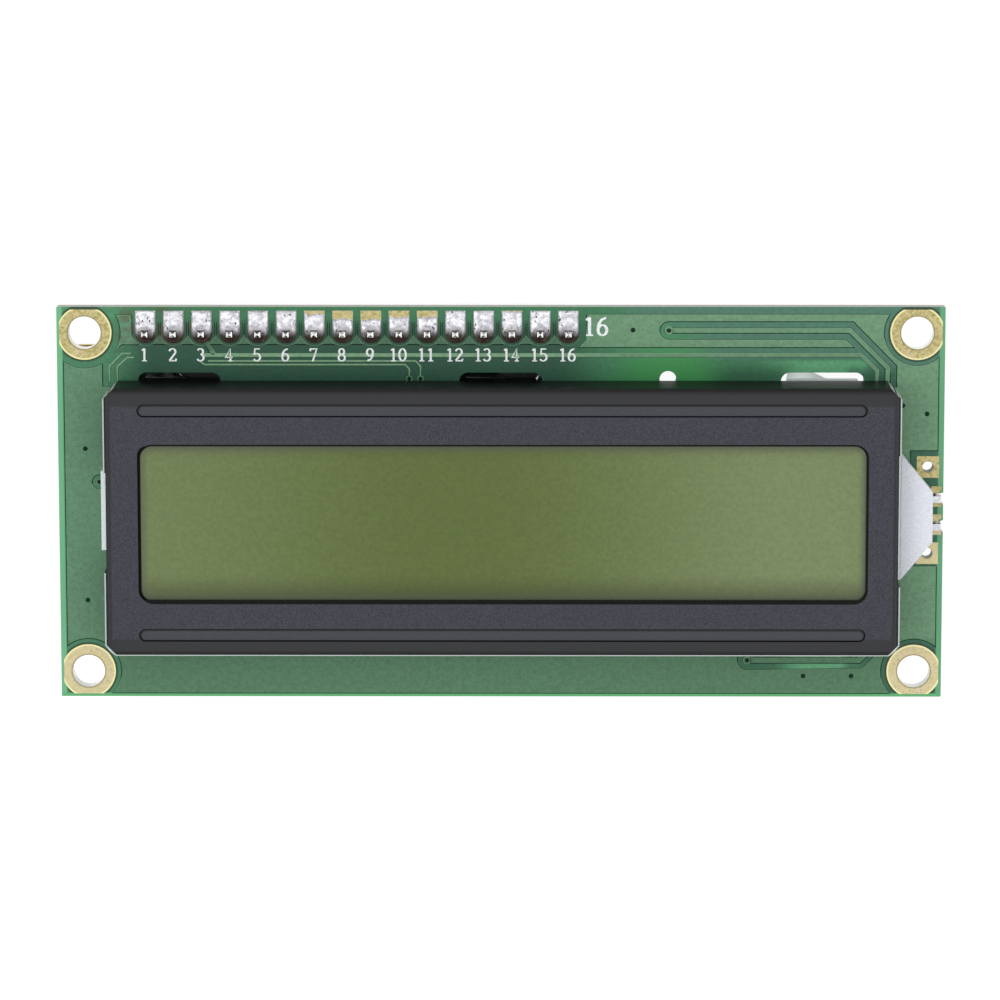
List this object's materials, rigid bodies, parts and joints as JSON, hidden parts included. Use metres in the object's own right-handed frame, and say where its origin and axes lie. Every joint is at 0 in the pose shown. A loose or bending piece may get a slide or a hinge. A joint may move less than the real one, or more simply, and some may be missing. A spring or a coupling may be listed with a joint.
{
  "type": "character lcd module",
  "caption": "Yellow-green character display in a folded black bezel on a green board, with a serial adapter board plugged in behind its pin row.",
  "frame": {"origin": "middle of the four mounting holes, on the front face of the main board", "axes": "+X along the pin row from pin 1 to pin 16, +Y towards the pin row, +Z out of the display towards the reader"},
  "size_m": [0.08, 0.0358, 0.0161],
  "materials": {
    "green_board": "glossy green solder mask on a glass-fibre board",
    "black_board": "semi-matt black solder mask on a glass-fibre board",
    "black_sheet": "satin black paint on folded steel sheet",
    "display_film": "olive yellow-green polarizer, satin",
    "display_glass": "clear display glass",
    "white_film": "white diffusing film",
    "guide_acrylic": "milky clear acrylic",
    "lamp_case": "pale lamp moulding",
    "tinned_lead": "tinned metal",
    "solder": "bright solder",
    "zebra_rubber": "striped contact rubber",
    "black_resin": "glossy black resin",
    "chip_resistor": "black chip with tinned ends",
    "chip_capacitor": "tan ceramic chip with tinned ends",
    "header_plastic": "black moulded plastic",
    "pin_metal": "gold-flashed square pin",
    "chip_case": "dark moulded case",
    "trimmer_case": "blue moulded plastic",
    "rotor_plastic": "white moulded rotor",
    "cap_plastic": "black moulded plastic",
    "power_lamp": "red indicator chip"
  },
  "bodies": {
    "module": {"main_board": "green_board", "bezel": "black_sheet", "front_polarizer": "display_film", "front_glass": "display_glass", "rear_glass": "display_glass", "rear_polarizer": "display_film", "diffuser_film": "white_film", "light_guide": "guide_acrylic", "reflector_film": "white_film", "tab_cover_film": "white_film", "backlight_lamp": "lamp_case", "backlight_lead_upper": "tinned_lead", "backlight_lead_lower": "tinned_lead", "lead_solder": "solder", "zebra_strip_upper": "zebra_rubber", "zebra_strip_lower": "zebra_rubber", "controller_blob": "black_resin", "driver_blob": "black_resin", "main_board_resistors": "chip_resistor", "main_board_capacitors": "chip_capacitor", "header_housing": "header_plastic", "front_solder_joints": "solder", "adapter_board": "black_board", "adapter_solder_joints": "solder", "expander_chip_body": "chip_case", "expander_chip_leads": "tinned_lead", "trimmer_body": "trimmer_case", "trimmer_pins": "tinned_lead", "bus_header_housing": "header_plastic", "jumper_header_housing": "header_plastic", "jumper_cap": "cap_plastic", "backlight_transistor": "chip_case", "power_lamp": "power_lamp", "adapter_resistors": "chip_resistor", "adapter_capacitors": "chip_capacitor", "header_pin_01": "pin_metal", "header_pin_02": "pin_metal", "header_pin_03": "pin_metal", "header_pin_04": "pin_metal", "header_pin_05": "pin_metal", "header_pin_06": "pin_metal", "header_pin_07": "pin_metal", "header_pin_08": "pin_metal", "header_pin_09": "pin_metal", "header_pin_10": "pin_metal", "header_pin_11": "pin_metal", "header_pin_12": "pin_metal", "header_pin_13": "pin_metal", "header_pin_14": "pin_metal", "header_pin_15": "pin_metal", "header_pin_16": "pin_metal", "bus_header_pin_1": "pin_metal", "bus_header_pin_2": "pin_metal", "bus_header_pin_3": "pin_metal", "bus_header_pin_4": "pin_metal", "jumper_header_pin_1": "pin_metal", "jumper_header_pin_2": "pin_metal"},
    "contrast_rotor": {"trimmer_rotor": "rotor_plastic"}
  },
  "joints": [
    {"name": "contrast_turn", "type": "hinge", "parent": "module", "child": "contrast_rotor", "pos_m": [-0.0026, 0.0056, -0.00964], "axis": [0, 0, 1], "range_deg": [-120, 120]}
  ]
}
